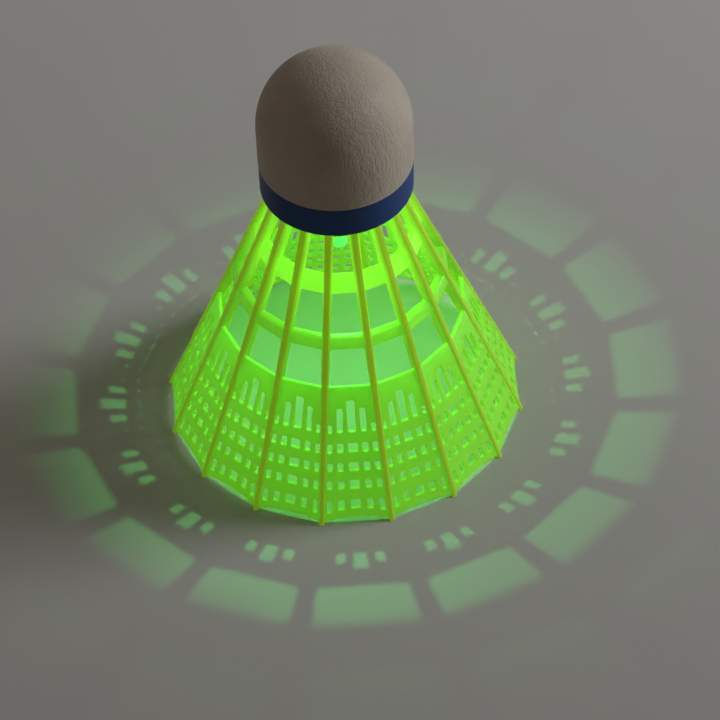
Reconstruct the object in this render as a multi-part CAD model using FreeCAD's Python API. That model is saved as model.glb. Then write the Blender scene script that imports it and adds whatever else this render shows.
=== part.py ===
"""Light-up nylon badminton shuttlecock, standing on its skirt with the nose up.

Millimetres. The origin is the centre of the circle that the rib feet stand on,
and +Z is the axis of the shuttlecock, from the skirt's rim to the nose. The
light module hangs under the head, with its LED towards -Y of the axis and its
push button towards +Y.
"""
import FreeCAD, Part
import math
import os

V = FreeCAD.Vector
Z_AXIS = V(0, 0, 1)
ORIGIN = V(0, 0, 0)

# --- skirt ---------------------------------------------------------------
RIB_COUNT = 16
FIRST_RIB_DEG = -99.0        # direction of rib 0, seen from above
SKIRT_HEIGHT = 53.0          # rib feet to the flat under the head
RIM_RADIUS = 31.9            # outer face of a rib at its foot
NECK_RADIUS = 10.9           # outer face of a rib under the head
RIB_WIDTH_FOOT = 0.95
RIB_WIDTH_NECK = 1.75
RIB_DEPTH_FOOT = 1.2
RIB_DEPTH_NECK = 2.4
VANE_RECESS = 0.25           # vane face behind the outer faces of the ribs
VANE_WALL = 0.65
VANE_TOP = 24.4              # upper edge of the perforated vane
HEM_CORNER = 0.4             # hem height beside a rib foot
HEM_ARCH = 1.2               # hem height half way between two ribs
COLUMNS = (0.0, 0.213, -0.213, 0.388, -0.388)    # across a panel, in panel pitches
SLOT_WIDTHS = (1.45, 1.05, 1.05, 0.8, 0.8)       # arched slots, by column
SLOT_BOTTOM = 16.3
SLOT_TOPS = (22.0, 20.6, 20.6, 17.8, 17.8)
HOLE_ROWS = ((12.7, 14.4), (9.3, 10.9), (6.1, 7.7))
HOLE_WIDTHS = (1.75, 1.1, 1.1, 1.0, 1.0)
HEM_ROW_BOTTOMS = (2.5, 2.3, 2.3, 1.9, 1.9)
HEM_ROW_TOP = 4.2
RING_A_BOTTOM = 40.4         # hoop close to the neck, on the inner side of the ribs
RING_A_TOP = 43.4
RING_A_RECESS = 1.1
RING_A_WALL = 0.95
RING_B_BOTTOM = 31.0         # hoop half way down the open ribs
RING_B_TOP = 32.9
RING_B_RECESS = 0.4
RING_B_WALL = 1.5
COLLAR_THICKNESS = 1.6       # disc that joins the ribs under the head
PLUG_WALL = 2.1              # tube that goes up into the head
PLUG_LENGTH = 8.0
BARB_HEIGHT = 0.8
BARB_REACH = 0.25
BARB_OFFSETS = (2.2, 5.2)

# --- head ----------------------------------------------------------------
HEAD_RADIUS = 13.5           # outside of the cover, at the root of the dome
HEAD_TAPER = 0.15            # the head is narrower at its flat than at the root of the dome
DRUM_HEIGHT = 13.8           # flat under the head to the root of the dome
BAND_HEIGHT = 6.0
BAND_WALL = 0.4
COVER_WALL = 0.45
GLUE_GAP = 0.05              # between pieces that are glued together

# --- light module --------------------------------------------------------
CASE_GAP = 0.1               # module case in the plug
CASE_WALL = 1.0
CASE_TOP_WALL = 0.9
MODULE_DROP = 8.6            # module's underside below the flat under the head
CAP_FLOOR = 1.3
CAP_CHAMFER = 1.2
CAP_GAP = 0.12               # cap under the rim of the case
SPIGOT_LENGTH = 2.3
SPIGOT_GAP = 0.15
SPIGOT_WALL = 0.9
BOARD_THICKNESS = 0.8
BOARD_GAP = 0.05
BOARD_CLEARANCE = 0.2        # board edge in the case

# --- cells and contacts --------------------------------------------------
CELL_RADIUS = 3.95           # alkaline button cell, 7.9 mm by 3.6 mm
CELL_HEIGHT = 3.6
CELL_CAP_RADIUS = 3.1
CELL_CAP_HEIGHT = 0.3
CELL_GAP = 0.03
CELL_COUNT = 3
CELL_EDGE = 0.25
SLEEVE_GAP = 0.08
SLEEVE_WALL = 0.15
LEAF_RADIUS = 2.4
LEAF_THICKNESS = 0.2
LEAF_RISE = 1.55             # board to the lowest cell
LEAF_TONGUE = 1.2            # width of the tongue
LEAF_ROOT = 1.7              # where the tongue leaves the disc, beside the axis
LEAF_REACH = 1.2             # length of the flat that the cell rests on
STRIP_THICKNESS = 0.25
STRIP_WIDTH = 1.6
STRIP_GAP = 0.05
STRIP_CLEARANCE = 0.52       # contact strip to the bore of the case
STRIP_DISC_RADIUS = 3.4
CASE_HEADROOM = 0.3

# --- LED, resistor and switch ----------------------------------------------
LED_OFFSET = 2.0
LED_RADIUS = 1.5
LED_LENGTH = 5.3
LED_FLANGE_STEP = 0.4
LED_FLANGE_HEIGHT = 1.0
LED_SOCKET_DEPTH = 0.8
LED_FIT = 0.05
LEAD_SIZE = 0.45
LEAD_PITCH = 2.54
LEAD_HOLE_RADIUS = 0.42
LEAD_BEND_TOP = 0.3          # bend inside the flange, measured down from its top
LEAD_BEND_BOTTOM = 0.75
POST_PITCH = 1.4             # the two posts inside the lens
POST_DEPTH = 1.7
CUP_RADIUS = 0.55
CUP_HEIGHT = 0.8
CHIP_SIZE = 0.35
CHIP_HEIGHT = 0.15
RESISTOR = (1.6, 0.8, 0.45)
RESISTOR_OFFSET = 3.5
BUTTON_OFFSET = 2.1
BUTTON_RADIUS = 0.95
BUTTON_PROUD = 0.7
BUTTON_FIT = 0.15
BUTTON_COLLAR_RADIUS = 1.3
BUTTON_COLLAR = 0.4
BUTTON_TRAVEL = 0.5
STEM_RADIUS = 0.8
SWITCH_SIZE = 2.9
SWITCH_POCKET_RADIUS = 1.1
SWITCH_ROOF = 0.45
DOME_RADIUS = 1.0
DOME_SPARE = 0.1             # rise that the dome keeps when it is pressed
DOME_WALL = 0.1

# --- places that follow from the sizes above -------------------------------
HEAD_BASE = SKIRT_HEIGHT
DOME_CENTRE = HEAD_BASE + DRUM_HEIGHT
BAND_TOP = HEAD_BASE + BAND_HEIGHT
SLEEVE_BORE = CELL_RADIUS + SLEEVE_GAP
STRIP_INNER = SLEEVE_BORE + SLEEVE_WALL + STRIP_GAP
CASE_BORE = STRIP_INNER + STRIP_THICKNESS + STRIP_CLEARANCE
CASE_RADIUS = CASE_BORE + CASE_WALL
PLUG_BORE = CASE_RADIUS + CASE_GAP
PLUG_RADIUS = PLUG_BORE + PLUG_WALL
CAP_FLOOR_BOTTOM = HEAD_BASE - MODULE_DROP
CAP_FLOOR_TOP = CAP_FLOOR_BOTTOM + CAP_FLOOR
CASE_BOTTOM = CAP_FLOOR_TOP + CAP_GAP
SPIGOT_TOP = CAP_FLOOR_TOP + SPIGOT_LENGTH
BOARD_BOTTOM = SPIGOT_TOP + BOARD_GAP
BOARD_TOP = BOARD_BOTTOM + BOARD_THICKNESS
CELLS_BOTTOM = BOARD_TOP + LEAF_RISE + CELL_GAP
CELL_PITCH = CELL_HEIGHT + CELL_GAP
CELLS_TOP = CELLS_BOTTOM + CELL_COUNT * CELL_PITCH - CELL_GAP
STRIP_BOTTOM = CELLS_TOP + STRIP_GAP
STRIP_TOP = STRIP_BOTTOM + STRIP_THICKNESS
CASE_CEILING = STRIP_TOP + CASE_HEADROOM
CASE_TOP = CASE_CEILING + CASE_TOP_WALL
SPIGOT_RADIUS = CASE_BORE - SPIGOT_GAP
LED_FLANGE_RADIUS = LED_RADIUS + LED_FLANGE_STEP
LED_TOP = CAP_FLOOR_BOTTOM + LED_SOCKET_DEPTH - LED_FIT
BUTTON_BOTTOM = CAP_FLOOR_BOTTOM - BUTTON_PROUD
COLLAR_BOTTOM = CAP_FLOOR_TOP + LED_FIT
COLLAR_TOP = COLLAR_BOTTOM + BUTTON_COLLAR
SWITCH_BOTTOM = COLLAR_TOP + BUTTON_TRAVEL + LED_FIT
DOME_RIM = BOARD_BOTTOM - SWITCH_ROOF - LED_FIT
DOME_RISE = BUTTON_TRAVEL + DOME_SPARE


def tube(outer, inner, low, high):
    """Round tube on the axis."""
    return rod(outer, low, high).cut(rod(inner, low, high))


def rod(radius, low, high, x=0.0, y=0.0):
    """Upright round rod at x, y."""
    return Part.makeCylinder(radius, high - low, V(x, y, low))


def block(size_x, size_y, low, high, x=0.0, y=0.0):
    """Upright box centred on x, y."""
    corner = V(x - size_x / 2, y - size_y / 2, low)
    return Part.makeBox(size_x, size_y, high - low, corner)


def revolve(points):
    """Solid of revolution of a closed outline given as (radius, height) points."""
    outline = Part.makePolygon([V(r, 0, z) for r, z in points + points[:1]])
    return Part.Face(outline).revolve(ORIGIN, Z_AXIS, 360)


def fuse_all(shapes):
    """One clean solid out of overlapping ones."""
    return shapes[0].multiFuse(shapes[1:]).removeSplitter()


def save(name, shape):
    """Write one node's STEP file."""
    shape.exportStep(os.path.join("parts", name + ".step"))


def along(z, foot, neck):
    """Value at height z of a size that runs evenly from foot to neck."""
    return foot + (neck - foot) * z / SKIRT_HEIGHT


def rib_radius(z):
    """Radius of the outer faces of the ribs at height z."""
    return along(z, RIM_RADIUS, NECK_RADIUS)


def rib_section(z):
    """Closed four-sided section of rib 0 at height z, in the XZ half-plane."""
    half = along(z, RIB_WIDTH_FOOT, RIB_WIDTH_NECK) / 2
    outer = rib_radius(z)
    inner = outer - along(z, RIB_DEPTH_FOOT, RIB_DEPTH_NECK)
    corners = [V(outer, -half, z), V(outer, half, z), V(inner, half, z), V(inner, -half, z)]
    return Part.makePolygon(corners + corners[:1])


def make_rib():
    """One straight rib, from its foot to the flat under the head."""
    return Part.makeLoft([rib_section(0.0), rib_section(SKIRT_HEIGHT)], True, True)


def panel_point(across, z):
    """Point on the outer face of a flat panel; across is in panel pitches."""
    radius = rib_radius(z) - VANE_RECESS
    half_angle = math.pi / RIB_COUNT
    pitch = 2 * radius * math.sin(half_angle)
    return V(radius * math.cos(half_angle), across * pitch, z)


def panel_pitch(z):
    """Width of a panel between the middles of its two ribs at height z."""
    return (panel_point(1.0, z) - panel_point(0.0, z)).Length


def opening(column, width, low, high):
    """Outline of one slot or hole, with its sides along the fan of the ribs."""
    middle = (low + high) / 2
    half = width / 2 / panel_pitch(middle)
    corners = [
        panel_point(column - half, low), panel_point(column + half, low),
        panel_point(column + half, high), panel_point(column - half, high),
    ]
    return Part.makePolygon(corners + corners[:1])


def panel_openings():
    """Outlines of every slot and hole in one panel."""
    outlines = []
    for column, slot_width, slot_top, hole_width, hem_bottom in zip(
            COLUMNS, SLOT_WIDTHS, SLOT_TOPS, HOLE_WIDTHS, HEM_ROW_BOTTOMS):
        outlines.append(opening(column, slot_width, SLOT_BOTTOM, slot_top))
        for low, high in HOLE_ROWS:
            outlines.append(opening(column, hole_width, low, high))
        outlines.append(opening(column, hole_width, hem_bottom, HEM_ROW_TOP))
    return outlines


def make_panel():
    """One flat perforated panel between two ribs, with its arched hem."""
    left_low, right_low = panel_point(-0.5, HEM_CORNER), panel_point(0.5, HEM_CORNER)
    left_top, right_top = panel_point(-0.5, VANE_TOP), panel_point(0.5, VANE_TOP)
    hem = Part.Arc(left_low, panel_point(0.0, HEM_ARCH), right_low).toShape()
    sides = [
        Part.makeLine(right_low, right_top),
        Part.makeLine(right_top, left_top),
        Part.makeLine(left_top, left_low),
    ]
    outline = Part.Wire([hem] + sides)
    face = Part.makeFace([outline] + panel_openings(), "Part::FaceMakerBullseye")
    across = right_top - left_top
    up = panel_point(0.0, VANE_TOP) - panel_point(0.0, 0.0)
    inward = up.cross(across).normalize()
    if inward.x > 0:
        inward = inward * -1
    return face.extrude(inward * VANE_WALL)


def make_hoop(low, high, recess, wall):
    """Round hoop that joins the ribs, with its faces along their slope."""
    outer_low, outer_high = rib_radius(low) - recess, rib_radius(high) - recess
    return revolve([
        (outer_low - wall, low), (outer_low, low),
        (outer_high, high), (outer_high - wall, high),
    ])


def make_collar():
    """Disc under the head and the barbed plug above it."""
    low = SKIRT_HEIGHT - COLLAR_THICKNESS
    top = SKIRT_HEIGHT + PLUG_LENGTH
    outline = [(PLUG_BORE, low), (rib_radius(low), low), (NECK_RADIUS, SKIRT_HEIGHT),
               (PLUG_RADIUS - BARB_REACH, SKIRT_HEIGHT)]
    for offset in BARB_OFFSETS:
        foot = SKIRT_HEIGHT + offset
        outline += [(PLUG_RADIUS - BARB_REACH, foot), (PLUG_RADIUS, foot),
                    (PLUG_RADIUS - BARB_REACH, foot + BARB_HEIGHT)]
    outline += [(PLUG_RADIUS - BARB_REACH, top), (PLUG_BORE, top)]
    return revolve(outline)


def turned(shape, degrees):
    """Copy of a shape, turned about the axis."""
    copy = shape.copy()
    copy.rotate(ORIGIN, Z_AXIS, degrees)
    return copy


def make_skirt_frame():
    """The stiff part of the nylon moulding: collar, plug, ribs and hoops."""
    pitch = 360.0 / RIB_COUNT
    rib = make_rib()
    pieces = [make_collar(), make_hoop(RING_A_BOTTOM, RING_A_TOP, RING_A_RECESS, RING_A_WALL),
              make_hoop(RING_B_BOTTOM, RING_B_TOP, RING_B_RECESS, RING_B_WALL)]
    pieces += [turned(rib, FIRST_RIB_DEG + index * pitch) for index in range(RIB_COUNT)]
    return fuse_all(pieces)


def make_skirt_vane():
    """The thin part of the nylon moulding: a perforated panel between each two ribs."""
    pitch = 360.0 / RIB_COUNT
    rib = make_rib()
    panel = make_panel().cut([turned(rib, -pitch / 2), turned(rib, pitch / 2)])
    between = max(panel.Solids, key=lambda solid: solid.Volume)
    first = FIRST_RIB_DEG + pitch / 2
    return Part.makeCompound([turned(between, first + index * pitch) for index in range(RIB_COUNT)])


def drum_radius(z, inset):
    """Radius at height z of the tapered drum, this far inside the head's outer face."""
    return HEAD_RADIUS - inset - HEAD_TAPER * (DOME_CENTRE - z) / DRUM_HEIGHT


def make_dome(inset, low):
    """Solid dome on its tapered drum, this far inside the head's outer face."""
    radius = HEAD_RADIUS - inset
    diagonal = radius * math.sqrt(0.5)
    crown = V(0, 0, DOME_CENTRE + radius)
    shoulder = V(diagonal, 0, DOME_CENTRE + diagonal)
    root = V(radius, 0, DOME_CENTRE)
    foot = V(drum_radius(low, inset), 0, low)
    edges = [Part.Arc(crown, shoulder, root).toShape()]
    edges += Part.makePolygon([root, foot, V(0, 0, low), crown]).Edges
    return Part.Face(Part.Wire(edges)).revolve(ORIGIN, Z_AXIS, 360)


def make_cork_core():
    """Cork body, bored for the plug and the top of the module case."""
    core = make_dome(COVER_WALL + GLUE_GAP, HEAD_BASE)
    plug_hole = rod(PLUG_RADIUS + GLUE_GAP, HEAD_BASE, HEAD_BASE + PLUG_LENGTH + GLUE_GAP)
    case_hole = rod(PLUG_BORE, HEAD_BASE, CASE_TOP + GLUE_GAP)
    return core.cut(plug_hole).cut(case_hole)


def make_head_cover():
    """Thin soft cover over the cork, down to the band."""
    low = BAND_TOP + GLUE_GAP
    return make_dome(0.0, low).cut(make_dome(COVER_WALL, low))


def make_blue_band():
    """Tape wound round the lower edge of the head."""
    return revolve([
        (drum_radius(HEAD_BASE, BAND_WALL), HEAD_BASE), (drum_radius(HEAD_BASE, 0.0), HEAD_BASE),
        (drum_radius(BAND_TOP, 0.0), BAND_TOP), (drum_radius(BAND_TOP, BAND_WALL), BAND_TOP),
    ])


def make_module_case():
    """Cup, open downwards, that holds the cells in the head."""
    body = rod(CASE_RADIUS, CASE_BOTTOM, CASE_TOP)
    return body.cut(rod(CASE_BORE, CASE_BOTTOM, CASE_CEILING))


def make_module_cap():
    """Push-in cap with the LED socket, the button hole and the lead holes."""
    chamfer = [(0, CAP_FLOOR_BOTTOM), (CASE_RADIUS - CAP_CHAMFER, CAP_FLOOR_BOTTOM),
               (CASE_RADIUS, CAP_FLOOR_TOP), (0, CAP_FLOOR_TOP)]
    spigot = tube(SPIGOT_RADIUS, SPIGOT_RADIUS - SPIGOT_WALL, CAP_FLOOR_TOP, SPIGOT_TOP)
    cap = fuse_all([revolve(chamfer), spigot])
    socket_radius = LED_FLANGE_RADIUS + LED_FIT
    socket_top = CAP_FLOOR_BOTTOM + LED_SOCKET_DEPTH
    cap = cap.cut(rod(socket_radius, CAP_FLOOR_BOTTOM, socket_top, y=-LED_OFFSET))
    cap = cap.cut(rod(BUTTON_RADIUS + BUTTON_FIT, CAP_FLOOR_BOTTOM, CAP_FLOOR_TOP,
                      y=BUTTON_OFFSET))
    for side in (-1, 1):
        cap = cap.cut(rod(LEAD_HOLE_RADIUS, CAP_FLOOR_BOTTOM, CAP_FLOOR_TOP,
                          x=side * LEAD_PITCH / 2, y=-LED_OFFSET))
    return cap


def make_circuit_board():
    """Round board that carries the LED's leads, the resistor and the switch."""
    board = rod(CASE_BORE - BOARD_CLEARANCE, BOARD_BOTTOM, BOARD_TOP)
    for side in (-1, 1):
        board = board.cut(rod(LEAD_HOLE_RADIUS, BOARD_BOTTOM, BOARD_TOP,
                              x=side * LEAD_PITCH / 2, y=-LED_OFFSET))
    return board


def make_button_cell(index):
    """One button cell, with its smaller contact cap downwards."""
    low = CELLS_BOTTOM + index * CELL_PITCH
    shoulder = low + CELL_CAP_HEIGHT
    top = low + CELL_HEIGHT
    return revolve([
        (0, low), (CELL_CAP_RADIUS, low), (CELL_CAP_RADIUS, shoulder),
        (CELL_RADIUS - CELL_EDGE, shoulder), (CELL_RADIUS, shoulder + CELL_EDGE),
        (CELL_RADIUS, top - CELL_EDGE), (CELL_RADIUS - CELL_EDGE, top), (0, top),
    ])


def make_cell_sleeve():
    """Thin insulating sleeve round the stack of cells."""
    return tube(SLEEVE_BORE + SLEEVE_WALL, SLEEVE_BORE, CELLS_BOTTOM, CELLS_TOP)


def make_battery_leaf():
    """Springy contact disc on the board, with a tongue up to the lowest cell."""
    low = BOARD_TOP + BOARD_GAP
    disc = rod(LEAF_RADIUS, low, low + LEAF_THICKNESS)
    root = V(-LEAF_ROOT, -LEAF_TONGUE / 2, low)
    tip_height = BOARD_TOP + LEAF_RISE - LEAF_THICKNESS
    profile = [root, root + V(LEAF_THICKNESS, 0, 0), V(LEAF_THICKNESS, root.y, tip_height),
               V(LEAF_REACH, root.y, tip_height),
               V(LEAF_REACH, root.y, tip_height + LEAF_THICKNESS),
               V(0, root.y, tip_height + LEAF_THICKNESS)]
    tongue = Part.Face(Part.makePolygon(profile + profile[:1])).extrude(V(0, LEAF_TONGUE, 0))
    return fuse_all([disc, tongue])


def make_contact_strip():
    """Upper contact: a disc on the top cell and an arm down to the board."""
    disc = rod(STRIP_DISC_RADIUS, STRIP_BOTTOM, STRIP_TOP)
    outer = STRIP_INNER + STRIP_THICKNESS
    bridge = block(outer, STRIP_WIDTH, STRIP_BOTTOM, STRIP_TOP, x=outer / 2)
    arm = block(STRIP_THICKNESS, STRIP_WIDTH, BOARD_TOP + CAP_GAP, STRIP_TOP,
                x=STRIP_INNER + STRIP_THICKNESS / 2)
    return fuse_all([disc, bridge, arm])


def make_lead(side, post_bottom):
    """One of the LED's leads: post in the lens, bend in the flange, leg to the board."""
    bend_top = LED_TOP - LEAD_BEND_TOP
    bend_bottom = LED_TOP - LEAD_BEND_BOTTOM
    bend_length = (LEAD_PITCH - POST_PITCH) / 2 + LEAD_SIZE
    bend_centre = side * (LEAD_PITCH + POST_PITCH) / 4
    return [
        block(LEAD_SIZE, LEAD_SIZE, post_bottom, bend_top, x=side * POST_PITCH / 2, y=-LED_OFFSET),
        block(bend_length, LEAD_SIZE, bend_bottom, bend_top, x=bend_centre, y=-LED_OFFSET),
        block(LEAD_SIZE, LEAD_SIZE, bend_bottom, BOARD_TOP, x=side * LEAD_PITCH / 2, y=-LED_OFFSET),
    ]


def make_lead_frame():
    """The LED's two leads; one of them carries the reflector cup."""
    post_bottom = LED_TOP - POST_DEPTH
    cup = rod(CUP_RADIUS, post_bottom - CUP_HEIGHT, post_bottom, y=-LED_OFFSET)
    arm_length = POST_PITCH / 2
    arm = block(arm_length, LEAD_SIZE, post_bottom - LEAD_SIZE, post_bottom,
                x=-arm_length / 2, y=-LED_OFFSET)
    cup_side = fuse_all(make_lead(-1, post_bottom - LEAD_SIZE) + [cup, arm])
    return Part.makeCompound([cup_side, fuse_all(make_lead(1, post_bottom))])


def make_led_chip():
    """Light-emitting chip under the reflector cup."""
    top = LED_TOP - POST_DEPTH - CUP_HEIGHT
    return block(CHIP_SIZE, CHIP_SIZE, top - CHIP_HEIGHT, top, y=-LED_OFFSET)


def make_led_lens():
    """Domed epoxy body of the LED, cast round its lead frame and chip."""
    dome_centre = LED_TOP - LED_LENGTH + LED_RADIUS
    flange_bottom = LED_TOP - LED_FLANGE_HEIGHT
    tip = V(0, 0, dome_centre - LED_RADIUS)
    diagonal = LED_RADIUS * math.sqrt(0.5)
    shoulder = V(diagonal, 0, dome_centre - diagonal)
    root = V(LED_RADIUS, 0, dome_centre)
    side = Part.makePolygon([
        root, V(LED_RADIUS, 0, flange_bottom), V(LED_FLANGE_RADIUS, 0, flange_bottom),
        V(LED_FLANGE_RADIUS, 0, LED_TOP), V(0, 0, LED_TOP), tip,
    ])
    outline = Part.Wire([Part.Arc(tip, shoulder, root).toShape()] + side.Edges)
    lens = Part.Face(outline).revolve(ORIGIN, Z_AXIS, 360)
    lens.translate(V(0, -LED_OFFSET, 0))
    cast_in = make_lead_frame().Solids + [make_led_chip()]
    return lens.cut(cast_in)


def make_resistor():
    """Chip resistor on top of the board."""
    size_x, size_y, height = RESISTOR
    low = BOARD_TOP + BOARD_GAP
    return block(size_x, size_y, low, low + height, y=RESISTOR_OFFSET)


def make_switch_body():
    """Switch housing under the board, with a pocket for the snap dome."""
    body = block(SWITCH_SIZE, SWITCH_SIZE, SWITCH_BOTTOM, BOARD_BOTTOM - LED_FIT,
                 y=BUTTON_OFFSET)
    pocket = rod(SWITCH_POCKET_RADIUS, SWITCH_BOTTOM, DOME_RIM, y=BUTTON_OFFSET)
    return body.cut(pocket)


def spherical_cap(radius, rise, rim):
    """Solid cap of a sphere that bulges down from a rim at height rim."""
    ball_radius = (radius ** 2 + rise ** 2) / (2 * rise)
    centre = V(0, BUTTON_OFFSET, rim - rise + ball_radius)
    return Part.makeSphere(ball_radius, centre).common(
        rod(radius, rim - rise, rim, y=BUTTON_OFFSET))


def make_switch_dome():
    """Snap dome that returns the button."""
    outside = spherical_cap(DOME_RADIUS, DOME_RISE, DOME_RIM)
    inside = spherical_cap(DOME_RADIUS - DOME_WALL, DOME_RISE - DOME_WALL, DOME_RIM)
    return outside.cut(inside)


def make_switch_button():
    """Push button: cap below, retaining collar, and stem up to the dome."""
    stem_top = DOME_RIM - DOME_RISE - LED_FIT
    return fuse_all([
        rod(BUTTON_RADIUS, BUTTON_BOTTOM, COLLAR_BOTTOM, y=BUTTON_OFFSET),
        rod(BUTTON_COLLAR_RADIUS, COLLAR_BOTTOM, COLLAR_TOP, y=BUTTON_OFFSET),
        rod(STEM_RADIUS, COLLAR_TOP, stem_top, y=BUTTON_OFFSET),
    ])


def main():
    """Build every piece and write it to parts/."""
    os.makedirs("parts", exist_ok=True)
    save("skirt_frame", make_skirt_frame())
    save("skirt_vane", make_skirt_vane())
    save("head_cover", make_head_cover())
    save("cork_core", make_cork_core())
    save("blue_band", make_blue_band())
    save("module_case", make_module_case())
    save("module_cap", make_module_cap())
    save("circuit_board", make_circuit_board())
    for index in range(CELL_COUNT):
        save("button_cell_%d" % (index + 1), make_button_cell(index))
    save("cell_sleeve", make_cell_sleeve())
    save("battery_leaf", make_battery_leaf())
    save("contact_strip", make_contact_strip())
    save("led_lead_frame", make_lead_frame())
    save("led_chip", make_led_chip())
    save("led_lens", make_led_lens())
    save("resistor", make_resistor())
    save("switch_body", make_switch_body())
    save("switch_dome", make_switch_dome())
    save("switch_button", make_switch_button())


main()
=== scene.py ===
"""Looks of a light-up nylon badminton shuttlecock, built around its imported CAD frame.

Metres, in the frame of the CAD model: the origin is the centre of the circle that the
rib feet stand on, and +Z runs up the axis to the nose. The classes below each build and
dress one sub-assembly: the skirt, the head, and the light module under the head.
"""

import logging
import math
from dataclasses import dataclass
from enum import Enum
from typing import Callable, ClassVar, Iterable, Sequence

import bmesh
import bpy
from mathutils import Matrix, Vector, noise


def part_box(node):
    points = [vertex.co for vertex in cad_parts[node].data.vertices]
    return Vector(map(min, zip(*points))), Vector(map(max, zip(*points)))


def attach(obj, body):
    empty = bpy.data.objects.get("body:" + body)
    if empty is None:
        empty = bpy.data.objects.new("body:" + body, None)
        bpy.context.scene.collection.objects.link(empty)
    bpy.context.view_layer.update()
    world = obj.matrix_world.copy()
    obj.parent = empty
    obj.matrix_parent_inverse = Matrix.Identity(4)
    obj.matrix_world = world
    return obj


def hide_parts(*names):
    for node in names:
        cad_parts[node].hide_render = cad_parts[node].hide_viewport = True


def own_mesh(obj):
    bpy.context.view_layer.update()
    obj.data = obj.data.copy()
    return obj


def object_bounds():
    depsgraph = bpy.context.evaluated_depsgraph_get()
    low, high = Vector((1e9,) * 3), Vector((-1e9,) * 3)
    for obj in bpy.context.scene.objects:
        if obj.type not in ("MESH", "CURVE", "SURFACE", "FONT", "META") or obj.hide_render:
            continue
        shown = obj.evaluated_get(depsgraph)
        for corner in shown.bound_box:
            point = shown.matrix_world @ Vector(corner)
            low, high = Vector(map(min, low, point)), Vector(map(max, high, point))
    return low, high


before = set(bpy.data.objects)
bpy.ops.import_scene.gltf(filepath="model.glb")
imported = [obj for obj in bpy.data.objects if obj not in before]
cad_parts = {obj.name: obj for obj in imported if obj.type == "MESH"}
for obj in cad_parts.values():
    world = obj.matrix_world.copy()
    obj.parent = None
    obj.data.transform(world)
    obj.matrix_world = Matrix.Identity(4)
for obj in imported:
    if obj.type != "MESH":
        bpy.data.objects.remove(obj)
CAD_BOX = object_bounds()

LOG = logging.getLogger("shuttlecock")
MM = 0.001
FULL_TURN = 2 * math.pi
UP = Vector((0, 0, 1))

Colour = tuple[float, float, float]
Profile = list[tuple[float, float]]


class Body(Enum):
    """The bodies of the CAD model that pieces ride on."""

    SHUTTLE = "shuttle"
    LIGHT_CAP = "light_cap"
    BUTTON = "button"


class Slot(Enum):
    """The record's material slots, one of which each piece names."""

    NYLON = "nylon"
    COVER = "head_cover"
    CORK = "cork"
    TAPE = "band_tape"
    MODULE = "module_plastic"
    BOARD = "board"
    CELL = "cell_steel"
    SLEEVE = "sleeve_film"
    CONTACT = "contact_metal"
    DIE = "led_die"
    EPOXY = "led_epoxy"
    RESISTOR = "resistor_body"
    SWITCH = "switch_plastic"
    BUTTON = "button_plastic"


# --------------------------------------------------------------------- finishes


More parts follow.
